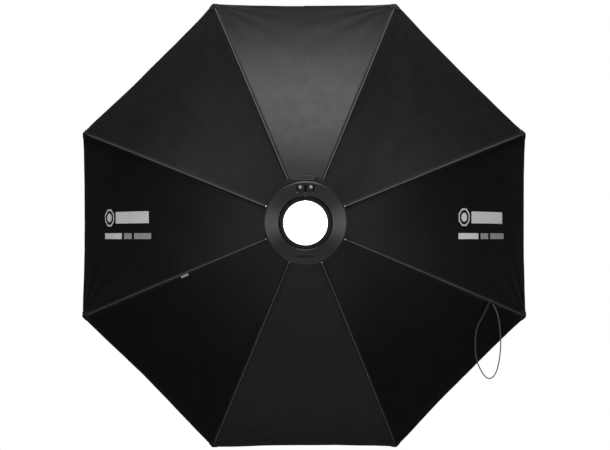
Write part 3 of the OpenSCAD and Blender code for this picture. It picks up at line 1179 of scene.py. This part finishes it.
    def edges(self) -> list[float]:
        """Distances from the root at which the bands meet, each a like share further out.

        Returns:
            The distances.
        """
        inner, outer = self.line.root_radius, self.line.at(self.line.length, self.line.outside)[0]
        ratio = (outer / inner) ** (1 / self.bands)
        inside = [self.line.distance_at(inner * ratio ** k) for k in range(1, self.bands)]
        return [0.0, *inside, self.line.length]

    def build(self) -> None:
        """Makes every strip, gives it its lining and hangs it on its rib."""
        edges = self.edges()
        made = []
        for rib in range(1, RIBS + 1):
            for k, (low, high) in enumerate(zip(edges, edges[1:])):
                parts = [Part.WHOLE] if low < self.split_from * self.line.length else list(Part)[1:]
                for part in parts:
                    strip = self.strip(rib, low, high, k == self.bands - 1, part)
                    thicken(strip, self.line.cloth, 1)
                    made.append((strip, rib, low, high, part))
        apply_modifiers([strip for strip, *_ in made])
        for strip, rib, low, high, part in made:
            self.dress(strip, rib, low, high, part)
        for rib in range(1, RIBS + 1):
            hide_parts(f"shell_panel_{rib}")
        log.info("shell: %d strips", len(made))

    def dress(self, strip: bpy.types.Object, rib: int, low: float, high: float, part: Part) -> None:
        """Gives the strip its own mesh, except the part over the rod, which the rod under it holds at full
        width, and hangs it on its rib; the share of its width it would keep when folded is worked out but not
        used.

        Args:
            strip: The strip.
            rib: Its rib's number.
            low: Where it begins, as a distance from the root.
            high: Where it ends.
            part: Which part of its band it is.
        """
        azimuth = rib_azimuth(rib)
        side = outwards(azimuth + math.pi / 2)
        radius, depth = self.line.at(low + 0.35 * (high - low), self.line.outside)
        keep = self.line.gathered(radius, depth)
        anchor = outwards(azimuth)
        if part in (Part.CLOCKWISE, Part.ANTICLOCKWISE):
            reach = radius * math.sin(HALF)
            keep = max((keep * reach - self.core) / (reach - self.core), 0.03)
            anchor += side * self.core * math.cos(HALF) * (1 if part is Part.CLOCKWISE else -1)
        if part is not Part.OVER_ROD:
            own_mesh(strip)
        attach(strip, f"rib_{rib}")


@dataclass
class Piping:
    """The round piping sewn into each seam, the crimp at its root and the pocket at the rib's tip."""

    shell: Shell
    finishes: Finishes
    radius: float = 1.8 * MM
    lift: float = 0.9 * MM
    root: float = 1 * MM
    pocket_length: float = 34 * MM
    pocket_width: float = 26 * MM
    pocket_thickness: float = 0.9 * MM

    def build(self) -> None:
        """Makes the piping and the pocket of every rib."""
        for rib in range(1, RIBS + 1):
            self.piping(rib)
            self.crimp(rib)
            self.pocket(rib)
        log.info("piping: %d seams", RIBS)

    def seam(self, rib: int, distances: Sequence[float]) -> list[Vector]:
        """Points down the middle of the piping.

        Args:
            rib: The rib's number.
            distances: Distances from the cloth's root.

        Returns:
            The points.
        """
        points = []
        for distance in distances:
            off = self.shell.line.outside + self.shell.ridge_at(distance) + self.lift
            radius, depth = self.shell.line.at(distance, off)
            points.append(outwards(rib_azimuth(rib)) * radius + FORWARD * depth)
        return points

    def piping(self, rib: int) -> None:
        """The piping over one seam.

        Args:
            rib: The rib's number.
        """
        line = self.shell.line
        points = self.seam(rib, steps(self.root, line.length - 2 * MM, 9 * MM))
        made = tube(f"piping_{rib}", points, self.radius, self.finishes["piping"], sides=12)
        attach(made, f"rib_{rib}")
        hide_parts(f"seam_binding_{rib}")

    def crimp(self, rib: int) -> None:
        """The bright crimp on the piping's root.

        Args:
            rib: The rib's number.
        """
        points = self.seam(rib, [-0.3 * MM, 0.0, 1.4 * MM, 1.7 * MM])
        made = tube(f"crimp_{rib}", points, self.radius + 0.4 * MM, self.finishes["pin"], sides=16)
        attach(made, f"rib_{rib}")

    def pocket(self, rib: int) -> None:
        """The webbing pocket that takes the rod's tip, folded over the rim.

        Args:
            rib: The rib's number.
        """
        line = self.shell.line
        top = line.length
        along = steps(top - self.pocket_length, top, 3 * MM) + steps(top, top + 12 * MM, 3 * MM)[1:]
        across = steps(-1.0, 1.0, 0.2)

        def place(x: float, distance: float) -> Vector:
            """Point of the pocket's outer face.

            Args:
                x: Where across the piece.
                distance: Distance from the shell's root, along a rib.

            Returns:
                The point.
            """
            inset = max(0.0, (top - self.pocket_length / 2 - distance) / (self.pocket_length / 2))
            width = self.pocket_width / 2 * math.sqrt(max(0.0, 1 - inset ** 2 * 0.96))
            reach = line.at(distance, line.outside)[0] * 2 * math.sin(HALF)
            u = abs(x) * width / reach
            crown = self.shell.hem_height + self.pocket_thickness + 0.4 * MM
            over_piping = math.exp(-(abs(x) * width / (4 * MM)) ** 2) * smooth((top - distance) / (12 * MM))
            crown += 2.2 * MM * over_piping
            if x >= 0:
                return self.shell.surface(rib, u, distance, crown)
            return self.shell.surface(rib - 1, 1 - u, distance, crown)

        bm = mapped_grid(across, along, place)
        face_towards(bm, outwards(rib_azimuth(rib)))
        made = finished(f"tip_pocket_{rib}", bm, [self.finishes["tape"]])
        thicken(made, self.pocket_thickness)
        apply_modifiers([made])
        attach(made, f"rib_{rib}")


@dataclass
class WhiteCloths:
    """The front diffuser and the inner baffle, in slices round the axis, and the straps."""

    line: RibLine
    finishes: Finishes
    slices_per_side: int = 4
    folded_radius: float = 74 * MM
    drawn_in: float = 7 * MM
    border: float = 26 * MM
    strap_keep: float = 0.17

    def build(self) -> None:
        """Makes both cloths and the straps."""
        low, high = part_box("front_diffuser")
        self.octagon("front_diffuser", (high[0] - low[0]) / 2, (low[1] + high[1]) / 2, 0.9 * MM, 5 * MM)
        low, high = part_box("inner_baffle")
        self.octagon("inner_baffle", (high[0] - low[0]) / 2, (low[1] + high[1]) / 2, 0.8 * MM, 4 * MM)
        self.straps()
        log.info("white cloths: %d slices", 2 * RIBS * self.slices_per_side)

    def octagon(self, node: str, apothem: float, depth: float, thickness: float, billow: float) -> None:
        """One eight-sided cloth.

        Args:
            node: The CAD node it stands for.
            apothem: Distance from its centre to a side.
            depth: Where it hangs along the axis.
            thickness: Its thickness.
            billow: Height of its soft waves.
        """
        turn = STEP / self.slices_per_side
        made = []

        def edge(angle: float) -> float:
            """Distance from the axis to the cloth's edge, which is drawn in between its corners.

            Args:
                angle: Angle round the axis.

            Returns:
                The distance.
            """
            off_middle = (angle + HALF) % STEP - HALF
            return apothem / math.cos(off_middle) - self.drawn_in * (1 - (off_middle / HALF) ** 2)

        for k in range(RIBS * self.slices_per_side):
            start = k * turn - HALF
            sewn = 1 - self.border / apothem
            rows = [0.004, *steps(0.05, sewn, 0.05), sewn + 0.0015, 1.0]

            def place(angle: float, share: float) -> Vector:
                """Point of the cloth's front face.

                Args:
                    angle: Angle round the axis.
                    share: Share of the way along.

                Returns:
                    The point.
                """
                radius = share * edge(angle)
                flat = outwards(angle) * radius
                wave = noise.noise(Vector((flat.x * 5, flat.z * 5, 2.0))) * billow * (1 - share ** 4)
                hem = 0.5 * MM if share > 1 - self.border / apothem else 0.0
                return flat + FORWARD * (depth + wave + hem)

            bm = mapped_grid(steps(start, start + turn, turn / 4), rows, place)
            bmesh.ops.remove_doubles(bm, verts=bm.verts[:], dist=0.05 * MM)
            face_towards(bm, FORWARD)
            for face in bm.faces:
                centre = face.calc_center_median()
                angle = math.atan2(centre.x, centre.z)
                reach = math.hypot(centre.x, centre.z) / edge(angle)
                face.material_index = 1 if reach > 1 - self.border / apothem + 0.001 else 0
            part = finished(f"{node}_{k + 1:02d}", bm, [self.finishes["white"], self.finishes["white_edge"]])
            thicken(part, thickness)
            made.append((part, start + turn / 2))
        apply_modifiers([part for part, _ in made])
        for part, angle in made:
            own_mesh(part)
            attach(part, "speedring")
        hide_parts(node)

    def straps(self) -> None:
        """The elastic straps from the baffle's corners to the ribs."""
        low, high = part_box("baffle_straps")
        depth = (low[1] + high[1]) / 2
        baffle_low, baffle_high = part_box("inner_baffle")
        inner = (baffle_high[0] - baffle_low[0]) / 2 / math.cos(HALF) - 14 * MM
        outer = (high[0] - low[0]) / 2 / math.cos(HALF)
        made = []
        for rib in range(1, RIBS + 1):
            azimuth = rib_azimuth(rib)
            side = outwards(azimuth + math.pi / 2)

            def place(x: float, radius: float) -> Vector:
                """Point of the strap's front face, with its two sewn ends thicker.

                Args:
                    x: Where across the piece.
                    radius: Distance from the axis.

                Returns:
                    The point.
                """
                end = 0.5 * MM if radius < inner + 16 * MM or radius > outer - 10 * MM else 0.0
                return outwards(azimuth) * radius + side * x + FORWARD * (depth + 1.2 * MM + end)

            bm = mapped_grid(steps(-10 * MM, 10 * MM, 4 * MM), steps(inner, outer, 4 * MM), place)
            face_towards(bm, FORWARD)
            part = finished(f"baffle_strap_{rib}", bm, [self.finishes["elastic"]])
            thicken(part, 1.2 * MM)
            made.append((part, azimuth))
        apply_modifiers([part for part, _ in made])
        for part, azimuth in made:
            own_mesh(part)
            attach(part, "speedring")
        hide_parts("baffle_straps")


@dataclass
class HangingLoop:
    """The elastic loop on the third rib and the strap it is sewn to."""

    line: RibLine
    finishes: Finishes
    rib: int = 3
    seam_radius: float = 514 * MM
    radius: float = 1.5 * MM
    tab_top: tuple[float, float, float] = (3, -2, 6)
    tab_width: float = 8 * MM
    tab_thickness: float = 1.4 * MM
    route: tuple[tuple[float, float, float], ...] = (
        (-18, -2, -36), (-23, -2, -46), (-31, -1, -61), (-36, 0, -81), (-38, 0, -103), (-38, 0, -124),
        (-36, 0, -144), (-31, 0, -162), (-24, 0, -177), (-16, 0, -190), (-6, 0, -198), (4, 0, -197),
        (12, 0, -188), (18, 0, -175), (22, 0, -159), (25, 0, -140), (27, 0, -120), (27, 0, -99),
        (26, 0, -78), (24, 1, -58), (21, 3, -40), (17, 5, -26), (12, 8, -15), (8, 10, -8))

    def seam_point(self) -> Vector:
        """The point of the seam that the loop hangs by, on the outside of the CAD binding.

        Returns:
            The point.
        """
        off = self.line.outside + 1.3 * MM
        low, high = 0.0, self.line.length
        for _ in range(40):
            middle = (low + high) / 2
            if self.line.at(middle, off)[0] < self.seam_radius:
                low = middle
            else:
                high = middle
        radius, depth = self.line.at(low, off)
        return outwards(rib_azimuth(self.rib)) * radius + FORWARD * depth

    def points(self) -> list[Vector]:
        """The route in the frame, with a new point on a smooth curve between each two.

        Returns:
            The points.
        """
        base = self.seam_point()
        coarse = [base + Vector(p) * MM for p in self.route]
        last = len(coarse) - 1
        fine = []
        for k, point in enumerate(coarse[:-1]):
            near = point + coarse[k + 1]
            far = coarse[max(k - 1, 0)] + coarse[min(k + 2, last)]
            fine += [point, (near * 9 - far) / 16]
        return fine + [coarse[-1]]

    def build(self) -> None:
        """Makes the cord and its strap."""
        points = self.points()
        cord = tube("hanging_loop", points, self.radius, self.finishes["braid"], sides=12)
        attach(cord, f"rib_{self.rib}")
        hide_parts("hang_loop")
        strap = self.strap()
        length = sum((b - a).length for a, b in zip(points, points[1:]))
        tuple(points[0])
        log.info("hanging loop: %.3f m", length)

    def strap(self) -> bpy.types.Object:
        """The sewn strap that holds the cord's first end, folded round it.

        Returns:
            The strap.
        """
        base = self.seam_point()
        top = base + Vector(self.tab_top) * MM
        end = base + Vector(self.route[0]) * MM
        run = end - top
        slope = self.line.slope(self.line.distance_at(self.seam_radius))
        outer = outwards(rib_azimuth(self.rib)) * math.sin(slope) - FORWARD * math.cos(slope)
        side = run.cross(outer).normalized()
        normal = side.cross(run).normalized()
        half = self.tab_width / 2

        def place(x: float, share: float) -> Vector:
            """Point of the strap's outer face: crowned at its end, where the cord lies in it.

            Args:
                x: Where across the piece.
                share: Share of the way along.

            Returns:
                The point.
            """
            narrow = half * (1 - 0.25 * smooth((share - 0.85) / 0.15))
            crown = 1.3 * MM * smooth((share - 0.7) / 0.25) * (1 - x * x)
            return top + run * share + side * (x * narrow) + normal * (self.tab_thickness / 2 + crown)

        bm = mapped_grid(steps(-1, 1, 0.25), steps(0, 1.02, 0.06), place)
        face_towards(bm, normal)
        made = finished("loop_strap", bm, [self.finishes["strap"]])
        thicken(made, self.tab_thickness)
        apply_modifiers([made])
        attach(made, f"rib_{self.rib}")
        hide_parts("loop_tab")
        return made


@dataclass
class CareLabel:
    """The flag label in the lower side of the sixth seam."""

    finishes: Finishes
    thickness: float = 0.5 * MM

    def build(self) -> None:
        """Makes the label, which curls away from the cloth."""
        low, high = (Vector(c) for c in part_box("care_label"))
        azimuth = rib_azimuth(6)
        out, down = outwards(azimuth), outwards(azimuth - math.pi / 2)
        middle = (low + high) / 2
        rise = (high.y - low.y) / 2
        reach = (abs(high.x - low.x) * abs(out.x) + abs(high.z - low.z) * abs(out.z)) / 2

        def place(x: float, y: float) -> Vector:
            """Point of the label's outer face.

            Args:
                x: Where across the piece.
                y: Where down the piece.

            Returns:
                The point.
            """
            curl = 1.2 * MM * y * y + 0.5 * MM * math.sin(3 * x) * y
            flat = middle + out * (x * reach * 0.9) + FORWARD * (x * rise * 0.8) + down * ((y - 0.5) * 5 * MM)
            return flat - FORWARD * curl

        bm = mapped_grid(steps(-1, 1, 0.15), steps(0, 1, 0.2), place)
        face_towards(bm, -FORWARD)
        made = finished("flag_label", bm, [self.finishes["label"]])
        thicken(made, self.thickness)
        apply_modifiers([made])
        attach(made, "rib_6")
        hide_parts("care_label")
        log.info("label: made")


@dataclass
class Ring:
    """Finishes for the CAD pieces of the speedring and the ribs."""

    finishes: Finishes

    def build(self) -> None:
        """Gives every carried-over CAD node its material."""
        wanted = {"hub_housing": "housing", "rear_cover": "cover", "front_plate": "housing",
                  "clamp_collar": "collar", "grip_liner": "liner", "clamp_pins": "pin",
                  "clamp_bolt": "dark_steel", "hinge_pins": "bright", "plate_screws": "bright",
                  "hub_gasket": "rubber", "clamp_lever": "lever"}
        for rib in range(1, RIBS + 1):
            wanted |= {f"rib_knuckle_{rib}": "knuckle", f"rib_rod_{rib}": "rod", f"tip_cap_{rib}": "rubber"}
        for node, key in wanted.items():
            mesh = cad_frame["nodes"][node].data
            mesh.materials.clear()
            mesh.materials.append(self.finishes[key])
        log.info("ring and ribs: %d nodes finished", len(wanted))


# ---- Studio -------------------------------------------------------------------------------------


@dataclass
class Studio:
    """Camera, floor, lights and surroundings."""

    rim_depth: float
    distance: float = 3.0
    aside: float = -17 * MM
    below: float = -35 * MM
    lens: float = 65.2
    floor_z: float = -2.4
    floor_radius: float = 0.95
    ambient: float = 0.012

    def camera(self) -> None:
        """The camera behind the ring, a hand's breadth below the axis."""
        data = bpy.data.cameras.new("camera")
        data.lens = self.lens
        data.sensor_width = 36.0
        made = bpy.data.objects.new("camera", data)
        bpy.context.scene.collection.objects.link(made)
        made.location = (self.aside, self.rim_depth - self.distance, self.below)
        aim = Vector((1.4 * MM, self.rim_depth, 0.0)) - made.location
        made.rotation_euler = aim.to_track_quat("-Z", "Y").to_euler()
        bpy.context.scene.camera = made

    def light(self, name: str, at: Sequence[float], towards: Sequence[float], size: Sequence[float],
              power: float) -> None:
        """A rectangular soft light.

        Args:
            name: Its name.
            at: Its place.
            towards: What it faces.
            size: Its width and height.
            power: Its power in watts.
        """
        data = bpy.data.lights.new(name, "AREA")
        data.shape = "RECTANGLE"
        data.size, data.size_y = size
        data.energy = power
        made = bpy.data.objects.new(name, data)
        bpy.context.scene.collection.objects.link(made)
        made.location = at
        made.rotation_euler = (Vector(towards) - Vector(at)).to_track_quat("-Z", "Y").to_euler()

    def surroundings(self) -> None:
        """A white background that lights the scene only dimly."""
        world = bpy.data.worlds.new("studio")
        bpy.context.scene.world = world
        world.use_nodes = True
        nodes, links = world.node_tree.nodes, world.node_tree.links
        nodes.clear()
        out = nodes.new("ShaderNodeOutputWorld")
        background = nodes.new("ShaderNodeBackground")
        path = nodes.new("ShaderNodeLightPath")
        strength = nodes.new("ShaderNodeMapRange")
        strength.inputs["To Min"].default_value = self.ambient
        strength.inputs["To Max"].default_value = 1.0
        links.new(path.outputs["Is Camera Ray"], strength.inputs["Value"])
        links.new(strength.outputs[0], background.inputs["Strength"])
        background.inputs["Color"].default_value = (1.0, 1.0, 1.0, 1.0)
        links.new(background.outputs[0], out.inputs["Surface"])

    def floor(self) -> None:
        """A plain pale floor."""
        bm = bmesh.new()
        bmesh.ops.create_circle(bm, cap_ends=True, radius=self.floor_radius, segments=96,
                                matrix=Matrix.Translation((0, 0, self.floor_z)))
        t = Tree("pale_floor")
        t.set(Base_Color=(0.6, 0.6, 0.6, 1.0), Roughness=0.9)
        finished("floor", bm, [t.material])

    def build(self) -> None:
        """Makes the lights, the floor and the surroundings."""
        self.floor()
        self.surroundings()
        self.light("key", (0.0, -0.7, 2.9), (0.0, 0.2, 0.25), (1.9, 1.0), 108.0)
        self.light("low", (0.0, -2.45, -2.45), (0.0, 0.0, 0.0), (3.4, 0.5), 24.0)
        self.light("left", (-2.2, -2.7, 0.0), (0.0, 0.0, 0.0), (1.0, 1.3), 26.0)
        self.light("right", (2.2, -2.7, 0.0), (0.0, 0.0, 0.0), (1.0, 1.3), 26.0)
        self.light("front", (0.0, 3.4, 0.3), (0.0, 0.4, 0.0), (1.6, 1.6), 130.0)
        self.light("chamber", (0.0, 0.075, 0.0), (0.0, 1.0, 0.0), (0.09, 0.09), 1.6)
        bpy.context.scene.view_settings.view_transform = "Standard"
        log.info("studio: lights and floor made")


def main() -> None:
    """Builds the octabox's looks around the frame."""
    logging.basicConfig(level=logging.INFO, format="%(name)s: %(message)s")
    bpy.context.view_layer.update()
    line = rib_line()
    rim_depth = line.at(line.length, 0.0)[1]
    studio = Studio(rim_depth)
    studio.camera()
    finishes = Finishes(line.length)
    HangingLoop(line, finishes).build()
    shell = Shell(line, finishes)
    shell.build()
    Piping(shell, finishes).build()
    WhiteCloths(line, finishes).build()
    CareLabel(finishes).build()
    Ring(finishes).build()
    studio.build()


with open("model.json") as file:
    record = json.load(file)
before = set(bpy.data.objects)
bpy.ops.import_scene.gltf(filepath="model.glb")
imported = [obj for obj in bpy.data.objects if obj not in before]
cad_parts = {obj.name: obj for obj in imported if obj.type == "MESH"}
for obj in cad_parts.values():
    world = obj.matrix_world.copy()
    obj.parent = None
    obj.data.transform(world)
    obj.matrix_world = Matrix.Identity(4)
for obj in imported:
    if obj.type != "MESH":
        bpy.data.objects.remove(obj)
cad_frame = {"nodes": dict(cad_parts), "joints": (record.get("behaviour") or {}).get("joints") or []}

if __name__ == "__main__":
    main()
